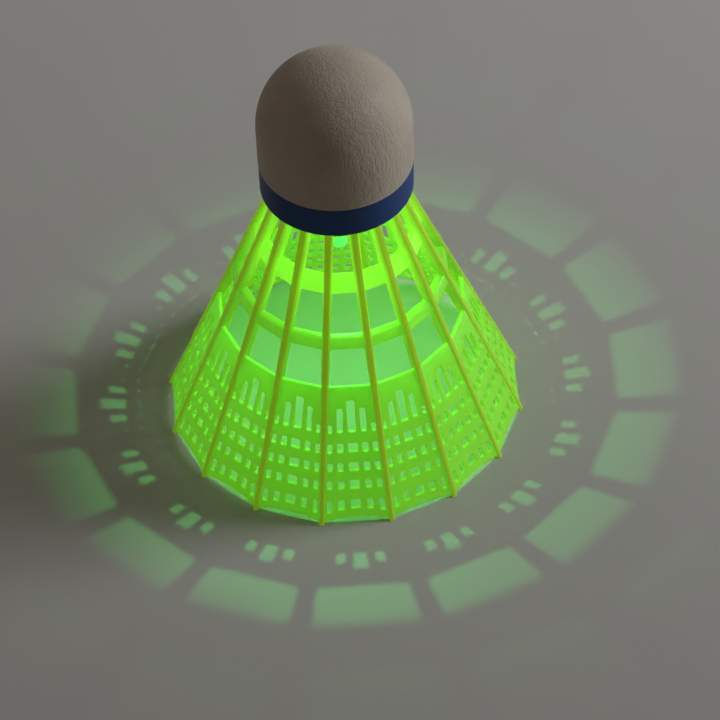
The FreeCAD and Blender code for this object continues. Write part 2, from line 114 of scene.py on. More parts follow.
class Shader:
    """A node material under construction, around one Principled shader."""

    def __init__(self, name: str) -> None:
        """Start an empty material.

        Args:
            name: The material's name.
        """
        self.material = bpy.data.materials.new(name)
        self.material.use_nodes = True
        self.tree = self.material.node_tree
        self.tree.nodes.clear()
        self.output = self.tree.nodes.new("ShaderNodeOutputMaterial")
        self.surface = self.tree.nodes.new("ShaderNodeBsdfPrincipled")
        self.link(self.surface.outputs["BSDF"], self.output.inputs["Surface"])
        self.coordinates = self.tree.nodes.new("ShaderNodeTexCoord").outputs["Object"]

    def link(self, source: bpy.types.NodeSocket, target: bpy.types.NodeSocket) -> None:
        """Join two sockets."""
        self.tree.links.new(source, target)

    def set(self, **values: object) -> None:
        """Set sockets of the Principled shader by name, with _ for a space."""
        for key, value in values.items():
            socket = self.surface.inputs[key.replace("_", " ")]
            is_colour = isinstance(value, tuple) and socket.type == "RGBA"
            socket.default_value = (*value, 1.0) if is_colour and len(value) == 3 else value

    def stretched(self, scale: Sequence[float]) -> bpy.types.NodeSocket:
        """Object coordinates scaled by a different amount along each axis.

        Args:
            scale: Factor along X, Y and Z.

        Returns:
            The scaled coordinates.
        """
        mapping = self.tree.nodes.new("ShaderNodeMapping")
        mapping.inputs["Scale"].default_value = scale
        self.link(self.coordinates, mapping.inputs["Vector"])
        return mapping.outputs["Vector"]

    def noise(self, size: float, detail: float = 3.0, rough: float = 0.5,
              vector: bpy.types.NodeSocket | None = None) -> bpy.types.NodeSocket:
        """A noise pattern.

        Args:
            size: Width of its largest blotches, in metres.
            detail: Number of finer layers.
            rough: Strength of each finer layer.
            vector: Coordinates, or None for the object's own.

        Returns:
            The pattern's value.
        """
        node = self.tree.nodes.new("ShaderNodeTexNoise")
        node.inputs["Scale"].default_value = 1.0 / size
        node.inputs["Detail"].default_value = detail
        node.inputs["Roughness"].default_value = rough
        self.link(vector or self.coordinates, node.inputs["Vector"])
        return node.outputs["Fac"]

    def cells(self, size: float, feature: str = "F1", output: str = "Distance",
              vector: bpy.types.NodeSocket | None = None) -> bpy.types.NodeSocket:
        """A cell pattern.

        Args:
            size: Width of a cell, in metres.
            feature: F1, F2 or DISTANCE_TO_EDGE.
            output: Which of the node's outputs to use.
            vector: Coordinates, or None for the object's own.

        Returns:
            The chosen output.
        """
        node = self.tree.nodes.new("ShaderNodeTexVoronoi")
        node.feature = feature
        node.inputs["Scale"].default_value = 1.0 / size
        self.link(vector or self.coordinates, node.inputs["Vector"])
        return node.outputs[output]

    def ramp(self, value: bpy.types.NodeSocket, stops: Sequence[tuple[float, Colour]]
             ) -> bpy.types.NodeSocket:
        """Turn a value into colours.

        Args:
            value: The pattern to read.
            stops: Position and colour of each stop, in order.

        Returns:
            The colour.
        """
        node = self.tree.nodes.new("ShaderNodeValToRGB")
        elements = node.color_ramp.elements
        for index, (position, colour) in enumerate(stops):
            element = elements[index] if index < 2 else elements.new(position)
            element.position = position
            element.color = (*colour, 1.0)
        self.link(value, node.inputs["Fac"])
        return node.outputs["Color"]

    def spread(self, value: bpy.types.NodeSocket, low: float, high: float,
               start: float = 0.3, end: float = 0.7) -> bpy.types.NodeSocket:
        """Map a pattern onto a range.

        Args:
            value: The pattern to read.
            low: Result at start.
            high: Result at end.
            start: Pattern value that gives low.
            end: Pattern value that gives high.

        Returns:
            The mapped value.
        """
        node = self.tree.nodes.new("ShaderNodeMapRange")
        settings = (("From Min", start), ("From Max", end), ("To Min", low), ("To Max", high))
        for key, number in settings:
            node.inputs[key].default_value = number
        self.link(value, node.inputs["Value"])
        return node.outputs["Result"]

    def blend(self, share: bpy.types.NodeSocket | float,
              first: bpy.types.NodeSocket | Colour, second: bpy.types.NodeSocket | Colour,
              kind: str = "MIX") -> bpy.types.NodeSocket:
        """Blend two colours.

        Args:
            share: How much of the second to use, from 0 to 1, or a pattern that gives it.
            first: A colour, or a pattern that gives one.
            second: The other colour or pattern.
            kind: The way of blending.

        Returns:
            The colour.
        """
        node = self.tree.nodes.new("ShaderNodeMix")
        node.data_type = "RGBA"
        node.blend_type = kind
        if isinstance(share, float):
            node.inputs["Factor"].default_value = share
        else:
            self.link(share, node.inputs["Factor"])
        for place, colour in (("A", first), ("B", second)):
            if isinstance(colour, tuple):
                node.inputs[place].default_value = (*colour, 1.0)
            else:
                self.link(colour, node.inputs[place])
        return node.outputs["Result"]

    def relief(self, layers: Iterable[tuple[bpy.types.NodeSocket, float]]) -> None:
        """Give the surface a fine relief.

        Args:
            layers: Each pattern with the height it stands for, in metres.
        """
        normal = None
        for value, height in layers:
            bump = self.tree.nodes.new("ShaderNodeBump")
            bump.inputs["Strength"].default_value = 1.0
            bump.inputs["Distance"].default_value = height
            self.link(value, bump.inputs["Height"])
            if normal is not None:
                self.link(normal, bump.inputs["Normal"])
            normal = bump.outputs["Normal"]
        self.link(normal, self.surface.inputs["Normal"])

    def drive(self, socket: str, source: bpy.types.NodeSocket) -> None:
        """Let a pattern drive one of the Principled shader's sockets."""
        self.link(source, self.surface.inputs[socket])


@dataclass(frozen=True)
class NylonFinish:
    """Fluorescent translucent nylon, satin from the mould and yellower where it is thick, with
    a painted glow: its emission stands in for the LED's light shining through the nylon and for
    its fluorescence, and is stronger on the thin sheet near the LED.
    """

    light: Colour = (0.40, 0.70, 0.075)
    deep: Colour = (0.35, 0.64, 0.055)
    thick: Colour = (0.42, 0.56, 0.02)
    # Painted glow: emission colours on the sheet and on the ribs, standing in for the LED's
    # light shining through the nylon and for its fluorescence.
    painted_glow: Colour = (0.34, 0.90, 0.05)
    thick_painted_glow: Colour = (0.42, 0.70, 0.01)
    painted_glow_strength: float = 0.22
    # Painted pool of LED light: extra emission on the thin sheet near the LED, fading out
    # between the two reach distances.
    painted_near_glow_strength: float = 0.42
    painted_near_glow_reach: tuple[float, float] = (13.5 * MM, 20 * MM)
    through: Colour = (0.70, 1.0, 0.30)
    clarity: float = 0.42
    thick_clarity: float = 0.16
    scatter: Colour = (0.8, 1.0, 0.25)
    scatter_depth: float = 1.6 * MM

    def material(self) -> bpy.types.Material:
        """Build the material, which reads a "thick" attribute that is 1 on the ribs."""
        shader = Shader("nylon")
        thick = shader.tree.nodes.new("ShaderNodeAttribute")
        thick.attribute_name = Skirt.THICK
        share = thick.outputs["Fac"]
        flow = shader.noise(9 * MM, 2.0)
        grain = shader.noise(0.35 * MM, 2.0)
        sheet = shader.ramp(flow, [(0.3, self.deep), (0.7, self.light)])
        shader.drive("Base Color", shader.blend(share, sheet, self.thick))
        # Painted glow colour, on the sheet and on the ribs.
        shader.drive("Emission Color",
                     shader.blend(share, self.painted_glow, self.thick_painted_glow))
        # Painted pool of LED light: the emission grows towards the LED chip.
        lamp = sum(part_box("led_chip"), Vector()) / 2
        reach = shader.tree.nodes.new("ShaderNodeVectorMath")
        reach.operation = "DISTANCE"
        reach.inputs[1].default_value = lamp
        shader.link(shader.coordinates, reach.inputs[0])
        near = shader.spread(reach.outputs["Value"], self.painted_near_glow_strength, 0.0, *self.painted_near_glow_reach)
        # Painted glow strength: the painted glow near the LED on the sheet, plus an even
        # painted glow everywhere.
        glow = shader.tree.nodes.new("ShaderNodeMath")
        glow.operation = "MULTIPLY_ADD"
        shader.link(near, glow.inputs[0])
        shader.link(shader.spread(share, 1.0, 0.0, 0.0, 1.0), glow.inputs[1])
        glow.inputs[2].default_value = self.painted_glow_strength
        shader.drive("Emission Strength", glow.outputs["Value"])
        shader.drive("Roughness", shader.spread(grain, 0.34, 0.50))
        shader.relief([(grain, 0.012 * MM), (flow, 0.03 * MM)])
        shader.set(Subsurface_Weight=0.4, Subsurface_Radius=self.scatter,
                   Subsurface_Scale=self.scatter_depth, IOR=1.53, Coat_Weight=0.1)
        through = shader.tree.nodes.new("ShaderNodeBsdfTranslucent")
        through.inputs["Color"].default_value = (*self.through, 1.0)
        mix = shader.tree.nodes.new("ShaderNodeMixShader")
        shader.link(shader.spread(share, self.clarity, self.thick_clarity, 0.0, 1.0),
                    mix.inputs["Fac"])
        shader.link(shader.surface.outputs["BSDF"], mix.inputs[1])
        shader.link(through.outputs["BSDF"], mix.inputs[2])
        shader.link(mix.outputs["Shader"], shader.output.inputs["Surface"])
        return shader.material


@dataclass(frozen=True)
class CoverFinish:
    """Thin stretched cover, with very fine creases and a soft bloom."""

    pale: Colour = (0.52, 0.43, 0.335)
    dull: Colour = (0.44, 0.355, 0.27)

    def material(self) -> bpy.types.Material:
        """Build the material."""
        shader = Shader("head_cover")
        blotch = shader.noise(7 * MM, 4.0)
        shader.drive("Base Color", shader.ramp(blotch, [(0.3, self.dull), (0.72, self.pale)]))
        upright = shader.stretched((1.0, 1.0, 0.42))
        crease = shader.cells(0.95 * MM, "DISTANCE_TO_EDGE", vector=upright)
        fold = shader.noise(1.3 * MM, 3.0, 0.6, upright)
        pore = shader.noise(0.16 * MM, 2.0)
        furrow = shader.spread(crease, 0.0, 1.0, 0.0, 0.12)
        shader.drive("Roughness", shader.spread(pore, 0.56, 0.72))
        shader.relief([(furrow, 0.03 * MM), (fold, 0.11 * MM), (pore, 0.02 * MM)])
        shader.set(Sheen_Weight=0.25, Sheen_Roughness=0.5, Sheen_Tint=(0.9, 0.85, 0.78),
                   IOR=1.45)
        return shader.material


@dataclass(frozen=True)
class CorkFinish:
    """Pressed cork: granules of several browns with dark joints between them."""

    granule: float = 1.1 * MM

    def material(self) -> bpy.types.Material:
        """Build the material."""
        shader = Shader("cork")
        tone = shader.cells(self.granule, output="Color")
        joint = shader.cells(self.granule, "DISTANCE_TO_EDGE")
        flecks = shader.noise(0.4 * MM, 4.0, 0.6)
        split = shader.tree.nodes.new("ShaderNodeSeparateColor")
        shader.link(tone, split.inputs["Color"])
        browns = shader.ramp(split.outputs["Red"], [
            (0.0, (0.30, 0.17, 0.085)), (0.5, (0.46, 0.29, 0.16)), (1.0, (0.60, 0.42, 0.26)),
        ])
        dark = shader.ramp(joint, [(0.0, (0.45, 0.4, 0.36)), (0.08, (1.0, 1.0, 1.0))])
        shader.drive("Base Color", shader.blend(1.0, browns, dark, "MULTIPLY"))
        shader.drive("Roughness", shader.spread(flecks, 0.72, 0.9))
        shader.relief([(joint, 0.08 * MM), (flecks, 0.05 * MM)])
        return shader.material


@dataclass(frozen=True)
class TapeFinish:
    """Dark blue tape with a satin face and faint stretch marks round it."""

    blue: Colour = (0.016, 0.048, 0.185)
    worn: Colour = (0.024, 0.062, 0.225)

    def material(self) -> bpy.types.Material:
        """Build the material."""
        shader = Shader("band_tape")
        wear = shader.noise(2.2 * MM, 4.0, 0.6)
        bands = shader.noise(0.5 * MM, 2.0, 0.5, shader.stretched((0.12, 0.12, 1.6)))
        shader.drive("Base Color", shader.ramp(wear, [(0.42, self.blue), (0.78, self.worn)]))
        shader.drive("Roughness", shader.spread(wear, 0.42, 0.56))
        shader.relief([(bands, 0.014 * MM), (wear, 0.02 * MM)])
        shader.set(Specular_IOR_Level=0.22)
        return shader.material


@dataclass(frozen=True)
class MouldedFinish:
    """Injection-moulded plastic of one colour."""

    name: str
    colour: Colour
    roughness: float = 0.4
    grain: float = 0.3 * MM
    depth: float = 0.01 * MM

    def material(self) -> bpy.types.Material:
        """Build the material."""
        shader = Shader(self.name)
        grain = shader.noise(self.grain, 3.0)
        cloud = shader.noise(4 * MM, 2.0)
        shade = tuple(channel * 0.88 for channel in self.colour)
        shader.drive("Base Color", shader.ramp(cloud, [(0.35, shade), (0.65, self.colour)]))
        shader.drive("Roughness", shader.spread(grain, self.roughness - 0.06,
                                                self.roughness + 0.08))
        shader.relief([(grain, self.depth)])
        return shader.material


@dataclass(frozen=True)
class MetalFinish:
    """Plated sheet metal or steel with a drawn grain."""

    name: str
    colour: Colour
    roughness: float = 0.28
    grain: tuple[float, float, float] = (1.0, 1.0, 8.0)

    def material(self) -> bpy.types.Material:
        """Build the material."""
        shader = Shader(self.name)
        drawn = shader.noise(0.5 * MM, 3.0, 0.5, shader.stretched(self.grain))
        cloud = shader.noise(2.5 * MM, 2.0)
        dull = tuple(channel * 0.82 for channel in self.colour)
        shader.drive("Base Color", shader.ramp(cloud, [(0.3, dull), (0.7, self.colour)]))
        shader.drive("Roughness", shader.spread(drawn, self.roughness - 0.08,
                                                self.roughness + 0.12))
        shader.relief([(drawn, 0.004 * MM)])
        shader.set(Metallic=1.0)
        return shader.material


@dataclass(frozen=True)
class BoardFinish:
    """Circuit board: solder mask over a mesh of copper tracks."""

    mask: Colour = (0.012, 0.16, 0.055)
    track: Colour = (0.02, 0.25, 0.085)
    pitch: float = 0.8 * MM

    def material(self) -> bpy.types.Material:
        """Build the material."""
        shader = Shader("board")
        tracks = shader.cells(self.pitch, "DISTANCE_TO_EDGE")
        shader.drive("Base Color", shader.ramp(tracks, [(0.10, self.track), (0.14, self.mask)]))
        weave = shader.noise(0.2 * MM, 2.0)
        shader.drive("Roughness", shader.spread(weave, 0.25, 0.38))
        shader.relief([(tracks, 0.02 * MM), (weave, 0.006 * MM)])
        return shader.material


@dataclass(frozen=True)
class EpoxyFinish:
    """Clear tinted epoxy, lit from inside."""

    tint: Colour = (0.16, 0.75, 0.16)
    glow: Colour = (0.14, 1.0, 0.13)
    strength: float = 0.15

    def material(self) -> bpy.types.Material:
        """Build the material."""
        shader = Shader("led_epoxy")
        cloud = shader.noise(0.5 * MM, 2.0)
        shader.drive("Roughness", shader.spread(cloud, 0.06, 0.14))
        shader.set(Base_Color=self.tint, Transmission_Weight=0.5, IOR=1.5,
                   Emission_Color=self.glow, Emission_Strength=self.strength)
        return shader.material


@dataclass(frozen=True)
class GlowFinish:
    """The lit chip."""

    glow: Colour = (0.12, 1.0, 0.22)
    strength: float = 3.0

    def material(self) -> bpy.types.Material:
        """Build the material."""
        shader = Shader("led_die")
        facets = shader.noise(0.08 * MM, 1.0)
        shader.drive("Roughness", shader.spread(facets, 0.2, 0.4))
        shader.set(Base_Color=self.glow, Emission_Color=self.glow,
                   Emission_Strength=self.strength)
        return shader.material


@dataclass(frozen=True)
class FloorFinish:
    """Plain pale matt tabletop, a little darker towards the front: painted shade that stands in
    for the lights falling off towards the front.
    """

    pale: Colour = (0.65, 0.60, 0.58)
    # Painted shade: the darker front colour, blended into the pale back colour along Y between
    # the two depths.
    near: Colour = (0.44, 0.385, 0.37)
    depth: tuple[float, float] = (-130 * MM, 120 * MM)

    def material(self) -> bpy.types.Material:
        """Build the material."""
        shader = Shader("floor")
        cloud = shader.noise(60 * MM, 3.0)
        place = shader.tree.nodes.new("ShaderNodeSeparateXYZ")
        shader.link(shader.coordinates, place.inputs["Vector"])
        # Painted shade: the colour darkens from the back towards the front.
        painted_falloff = shader.spread(place.outputs["Y"], 0.0, 1.0, *self.depth)
        shader.drive("Base Color", shader.ramp(painted_falloff, [(0.0, self.near), (1.0, self.pale)]))
        shader.drive("Roughness", shader.spread(cloud, 0.5, 0.6))
        shader.set(IOR=1.4)
        return shader.material


# --------------------------------------------------------------------- mesh work


def polar(radius: float, angle: float, height: float) -> Vector:
    """Point at a radius and an angle round the axis, at a height."""
    return Vector((radius * math.cos(angle), radius * math.sin(angle), height))


def arc(centre: tuple[float, float], radius: float, start: float, end: float,
        steps: int) -> Profile:
    """Points along an arc in the (radius, height) plane.

    Args:
        centre: Its centre.
        radius: Its radius.
        start: First angle in degrees, from the outward direction.
        end: Last angle in degrees.
        steps: Number of spans.

    Returns:
        The points, both ends included.
    """
    angles = [math.radians(start + (end - start) * step / steps) for step in range(steps + 1)]
    return [(centre[0] + radius * math.cos(a), centre[1] + radius * math.sin(a))
            for a in angles]


def lathe(bm: bmesh.types.BMesh, profile: Profile, steps: int = 96,
          centre: tuple[float, float] = (0.0, 0.0)) -> list[bmesh.types.BMVert]:
    """Spin a closed outline round an upright axis.

    Args:
        bm: The mesh to add to.
        profile: Points as (radius, height); both ends may lie on the axis.
        steps: Number of spans round the axis.
        centre: Where the axis stands.

    Returns:
        The new vertices.
    """
    before = set(bm.verts)
    points = [bm.verts.new((radius, 0, height)) for radius, height in profile]
    edges = [bm.edges.new(pair) for pair in zip(points, points[1:])]
    if profile[0][0] > 0 or profile[-1][0] > 0:
        edges.append(bm.edges.new((points[-1], points[0])))
    bmesh.ops.spin(bm, geom=points + edges, cent=(0, 0, 0), axis=UP, dvec=(0, 0, 0),
                   angle=FULL_TURN, steps=steps, use_merge=True)
    made = [vert for vert in bm.verts if vert not in before]
    bmesh.ops.remove_doubles(bm, verts=made, dist=1e-7)
    made = [vert for vert in bm.verts if vert not in before]
    bmesh.ops.translate(bm, vec=(*centre, 0), verts=made)
    return made


def bevel(bm: bmesh.types.BMesh, edges: Iterable[bmesh.types.BMEdge], width: float,
          segments: int = 2) -> None:
    """Round some edges.

    Args:
        bm: The mesh.
        edges: The edges to round.
        width: Width of the rounding, in metres.
        segments: Number of spans across it.
    """
    bmesh.ops.bevel(bm, geom=list(edges), offset=width, offset_type="OFFSET",
                    segments=segments, profile=0.5, affect="EDGES", clamp_overlap=True,
                    material=-1)


def sharp_edges(bm: bmesh.types.BMesh, degrees: float) -> list[bmesh.types.BMEdge]:
    """Edges whose two faces meet at more than an angle."""
    limit = math.radians(degrees)
    return [edge for edge in bm.edges
            if len(edge.link_faces) == 2 and edge.calc_face_angle(0.0) > limit]


@dataclass
class Piece:
    """A finished piece and how it takes its place in the assembly."""

    name: str
    body: Body
    slot: Slot
    material: bpy.types.Material
    replaces: tuple[str, ...] = ()
    smooth_degrees: float = 35.0

    def finish(self, bm: bmesh.types.BMesh) -> bpy.types.Object:
        """Turn the mesh into an object that rides on its body.

        Args:
            bm: The mesh, in the row frame. It is freed.

        Returns:
            The object.
        """
        bmesh.ops.recalc_face_normals(bm, faces=bm.faces[:])
        for face in bm.faces:
            face.smooth = True
        mesh = bpy.data.meshes.new(self.name)
        bm.to_mesh(mesh)
        bm.free()
        mesh.set_sharp_from_angle(angle=math.radians(self.smooth_degrees))
        mesh.materials.append(self.material)
        piece = bpy.data.objects.new(self.name, mesh)
        bpy.context.scene.collection.objects.link(piece)
        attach(piece, self.body.value)
        if self.replaces:
            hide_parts(*self.replaces)
        LOG.info("%s: %d faces on %s", self.name, len(mesh.polygons), self.body.value)
        return piece


def copy_of(node: str, merge: float = 1e-6) -> bmesh.types.BMesh:
    """Merged copy of a CAD node's mesh, with its flat faces joined up.

    Args:
        node: The CAD node.
        merge: Vertices closer than this become one, in metres.

    Returns:
        The copy.
    """
    bm = bmesh.new()
    bm.from_mesh(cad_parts[node].data)
    bmesh.ops.remove_doubles(bm, verts=bm.verts[:], dist=merge)
    bmesh.ops.dissolve_limit(bm, angle_limit=math.radians(1.0), verts=bm.verts[:],
                             edges=bm.edges[:])
    return bm


def dress_copy(node: str, body: Body, slot: Slot, material: bpy.types.Material,
               edge: float) -> bpy.types.Object:
    """Replace a CAD node by a copy of it with softened edges.

    Args:
        node: The CAD node.
        body: The body it rides on.
        slot: Its material slot.
        material: Its material.
        edge: Width of the rounding of its edges, in metres.

    Returns:
        The piece.
    """
    bm = copy_of(node)
    bevel(bm, sharp_edges(bm, 40.0), edge)
    return Piece(node + "_finished", body, slot, material, (node,), 50.0).finish(bm)


# --------------------------------------------------------------------- the skirt


@dataclass
class Skirt:
    """The nylon skirt: sixteen ribs, two hoops, a collar and a perforated vane.

    The skirt starts as one sheet, a grid whose columns are a rib and the bars and
    openings of a panel, and whose rows are the levels of the openings and the hoops.
    """

    THICK: ClassVar[str] = "thick"

    ribs: int = 16
    first_rib_degrees: float = -99.0
    rib_width_foot: float = 0.98 * MM
    rib_width_neck: float = 1.8 * MM
    rib_depth_foot: float = 1.2 * MM
    rib_depth_neck: float = 2.4 * MM
    rib_edge: float = 0.2 * MM
    outer_taper: float = 0.6
    inner_taper: float = 0.85
    sheet_recess: float = 0.25 * MM
    sheet_wall: float = 0.65 * MM
    hem_corner: float = 0.4 * MM
    hem_arch: float = 1.2 * MM
    columns: tuple[float, ...] = (-0.388, -0.213, 0.0, 0.213, 0.388)
    slot_widths: tuple[float, ...] = (0.8, 1.05, 1.45, 1.05, 0.8)
    hole_widths: tuple[float, ...] = (0.94, 1.1, 1.75, 1.1, 0.94)
    slot_tops: tuple[float, ...] = (17.8, 20.6, 22.0, 20.6, 17.8)
    hem_row_bottoms: tuple[float, ...] = (1.9, 2.3, 2.5, 2.3, 1.9)
    levels: tuple[float, ...] = (4.2, 6.1, 7.7, 9.3, 10.9, 12.7, 14.4, 16.3)
    vane_top: float = 24.4
    hoop_b: tuple[float, float] = (31.0, 32.9)
    hoop_a: tuple[float, float] = (40.4, 43.4)
    hoop_b_recess: float = 0.4 * MM
    hoop_a_recess: float = 1.1 * MM
    hoop_a_wall: float = 0.95 * MM
    hoop_b_wall: float = 1.5 * MM
    hoop_edge: float = 0.18 * MM
    hole_corner: float = 0.24 * MM
    collar_height: float = 1.6
    collar_wall: float = 1.2 * MM
    plug_radius: float = 8.15 * MM
    plug_bore: float = 6.1 * MM
    plug_length: float = 8.0 * MM
    weld: float = 0.001 * MM

    def __post_init__(self) -> None:
        """Read the skirt's overall sizes from the frame."""
        corners = [vert.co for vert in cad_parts["skirt_frame"].data.vertices]
        feet = [corner for corner in corners if corner.z < 0.1 * MM]
        self.rim_radius = max(math.hypot(foot.x, foot.y) for foot in feet)
        self.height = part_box("blue_band")[0].z
        neck = [corner for corner in corners if abs(corner.z - self.height) < 0.05 * MM]
        self.neck_radius = max(math.hypot(corner.x, corner.y) for corner in neck)
        self.row_count = len(self.row_heights(0))
        self.pitch = FULL_TURN / self.ribs

    def along(self, z: float, foot: float, neck: float) -> float:
        """Value at height z of a size that runs evenly from foot to neck."""
        return foot + (neck - foot) * z / self.height

    def rib_radius(self, z: float) -> float:
        """Radius of the outer faces of the ribs at height z."""
        return self.along(z, self.rim_radius, self.neck_radius)

    def row_heights(self, column: int) -> list[float]:
        """Heights of the sheet's rows at one column, in metres.

        Args:
            column: 0 and 1 are the edges of a rib; 2 to 11 are the sides of the openings.

        Returns:
            One height per row, from the foot to the neck.
        """
        inside = 2 <= column <= 11
        index = (column - 2) // 2 if inside else 0
        across = self.columns[index] if inside else 0.5
        arch = self.hem_corner + (self.hem_arch - self.hem_corner) * (1 - 4 * across * across)
        low = [0.0, arch, self.hem_row_bottoms[index] * MM]
        middle = [level * MM for level in self.levels]
        high = [self.slot_tops[index], self.vane_top, *self.hoop_b, *self.hoop_a]
        high += [self.height / MM - self.collar_height, self.height / MM]
        return low + middle + [level * MM for level in high]

    def row_recess(self, row: int) -> float:
        """How far the sheet's outer face lies behind the ribs at a row."""
        hoops = {13: self.hoop_b_recess, 14: self.hoop_b_recess, 15: self.hoop_a_recess,
                 16: self.hoop_a_recess}
        return hoops.get(row, self.sheet_recess)

    def row_wall(self, row: int) -> float:
        """Thickness of the sheet at a row."""
        walls = {13: self.hoop_b_wall, 14: self.hoop_b_wall, 15: self.hoop_a_wall,
                 16: self.hoop_a_wall, 17: self.collar_wall, 18: self.collar_wall}
        return walls.get(row, self.sheet_wall)

    def rib_half(self, z: float) -> float:
        """Half of a rib's width at height z."""
        return self.along(z, self.rib_width_foot, self.rib_width_neck) / 2

    def sheet_point(self, column: int, row: int) -> Vector:
        """Place of one corner of the sheet, for the panel after rib 0.

        Args:
            column: Column line, 0 to 12; 0 and 1 bound the rib, 12 is the next rib's edge.
            row: Row line, from the foot to the neck.

        Returns:
            The point, with the panel's middle towards +X.
        """
        z = self.row_heights(column)[row]
        radius = self.rib_radius(z) - self.row_recess(row)
        half_pitch = self.pitch / 2
        chord = 2 * radius * math.sin(half_pitch)
        edge = self.rib_half(z)
        if column == 0:
            rib_out = Vector((math.cos(half_pitch), -math.sin(half_pitch), 0))
            side = Vector((-math.sin(self.pitch), -math.cos(self.pitch), 0))
            return rib_out * radius + side * edge + UP * z
        if column == 1:
            across = -chord / 2 + edge
        elif column == 12:
            across = chord / 2 - edge
        else:
            index, is_right = divmod(column - 2, 2)
            widths = self.slot_widths if row in (10, 11) else self.hole_widths
            half = widths[index] * MM / 2
            across = self.columns[index] * chord + (half if is_right else -half)
        return Vector((radius * math.cos(half_pitch), across, z))

    def is_open(self, column: int, row: int) -> bool:
        """Whether the sheet has an opening between two columns and two rows.

        Args:
            column: The left column line of the cell.
            row: The lower row line of the cell.

        Returns:
            True for air and False for nylon.
        """
        if column == 0:
            return False
        if row in (0, 12, 14, 16):
            return True
        is_opening_column = column % 2 == 0
        return is_opening_column and row in (2, 4, 6, 8, 10)

    def panel_direction(self, point: Vector) -> Vector:
        """Outward direction of the flat panel that a point belongs to."""
        first = math.radians(self.first_rib_degrees)
        turns = (math.atan2(point.y, point.x) - first) / self.pitch
        return polar(1.0, first + (math.floor(turns) + 0.5) * self.pitch, 0.0)

    def rib_direction(self, point: Vector) -> Vector:
        """Outward direction of the rib nearest to a point."""
        first = math.radians(self.first_rib_degrees)
        turns = round((math.atan2(point.y, point.x) - first) / self.pitch)
        return polar(1.0, first + turns * self.pitch, 0.0)

    def make_sheet(self, bm: bmesh.types.BMesh) -> None:
        """Lay out one sector as a grid, open its windows and repeat it round the axis."""
        column_count = 12
        rows = self.row_count - 1
        column_of = bm.verts.layers.int.new("column")
        row_of = bm.verts.layers.int.new("row")
        bm.verts.layers.int.new("side")
        bm.verts.layers.float.new(self.THICK)
        bmesh.ops.create_grid(bm, x_segments=column_count, y_segments=rows, size=1.0)
        for vert in bm.verts:
            vert[column_of] = round((vert.co.x + 1) / 2 * column_count)
            vert[row_of] = round((vert.co.y + 1) / 2 * rows)
        openings = [face for face in bm.faces
                    if self.is_open(min(v[column_of] for v in face.verts),
                                    min(v[row_of] for v in face.verts))]
        bmesh.ops.delete(bm, geom=openings, context="FACES")
        for vert in bm.verts:
            vert.co = self.sheet_point(vert[column_of], vert[row_of])
            vert[column_of] %= column_count
        first = math.radians(self.first_rib_degrees) + self.pitch / 2
        bmesh.ops.rotate(bm, verts=bm.verts[:], cent=(0, 0, 0),
                         matrix=Matrix.Rotation(first, 3, "Z"))
        bmesh.ops.spin(bm, geom=bm.verts[:] + bm.edges[:] + bm.faces[:], cent=(0, 0, 0),
                       axis=UP, dvec=(0, 0, 0), angle=self.pitch * (self.ribs - 1),
                       steps=self.ribs - 1, use_duplicate=True)
        bmesh.ops.remove_doubles(bm, verts=bm.verts[:], dist=self.weld)

    def thicken(self, bm: bmesh.types.BMesh) -> None:
        """Give the sheet its wall, inwards."""
        row_of, side_of = bm.verts.layers.int["row"], bm.verts.layers.int["side"]
        made = bmesh.ops.extrude_face_region(bm, geom=bm.faces[:], use_keep_orig=True)
        for vert in (item for item in made["geom"] if isinstance(item, bmesh.types.BMVert)):
            vert[side_of] = 1
            vert.co -= self.panel_direction(vert.co) * self.row_wall(vert[row_of])

    def raise_ribs(self, bm: bmesh.types.BMesh, side: int, taper: float) -> None:
        """Draw the ribs out of one face of the sheet.

        Args:
            bm: The mesh.
            side: 0 for the outer face and 1 for the inner face.
            taper: Width of the rib's far face as a share of its root.
        """
        column_of, side_of = bm.verts.layers.int["column"], bm.verts.layers.int["side"]
        thick_of = bm.verts.layers.float[self.THICK]
        strips = [face for face in bm.faces
                  if all(v[side_of] == side and v[column_of] in (0, 1) for v in face.verts)
                  and len({v[column_of] for v in face.verts}) == 2]
        outlines = list({edge for face in strips for edge in face.edges})
        made = bmesh.ops.extrude_face_region(bm, geom=strips + outlines)
        for vert in (item for item in made["geom"] if isinstance(item, bmesh.types.BMVert)):
            vert[side_of] = side + 2
            vert[thick_of] = 1.0
            out = self.rib_direction(vert.co)
            z = vert.co.z
            tangent = UP.cross(out)
            lean = 1 if vert.co.dot(tangent) > 0 else -1
            depth = self.along(z, self.rib_depth_foot, self.rib_depth_neck) if side else 0.0
            radius = self.rib_radius(z) - depth
            vert.co = out * radius + tangent * (lean * self.rib_half(z) * taper) + UP * z

    def round_edges(self, bm: bmesh.types.BMesh) -> None:
        """Round the corners of the openings and the long edges of ribs and hoops."""
        column_of = bm.verts.layers.int["column"]
        row_of = bm.verts.layers.int["row"]
        side_of = bm.verts.layers.int["side"]

        def both(edge: bmesh.types.BMEdge, layer: bmesh.types.BMLayerItem) -> tuple[int, int]:
            """The two ends' values of a layer, lower first."""
            first, second = (vert[layer] for vert in edge.verts)
            return min(first, second), max(first, second)

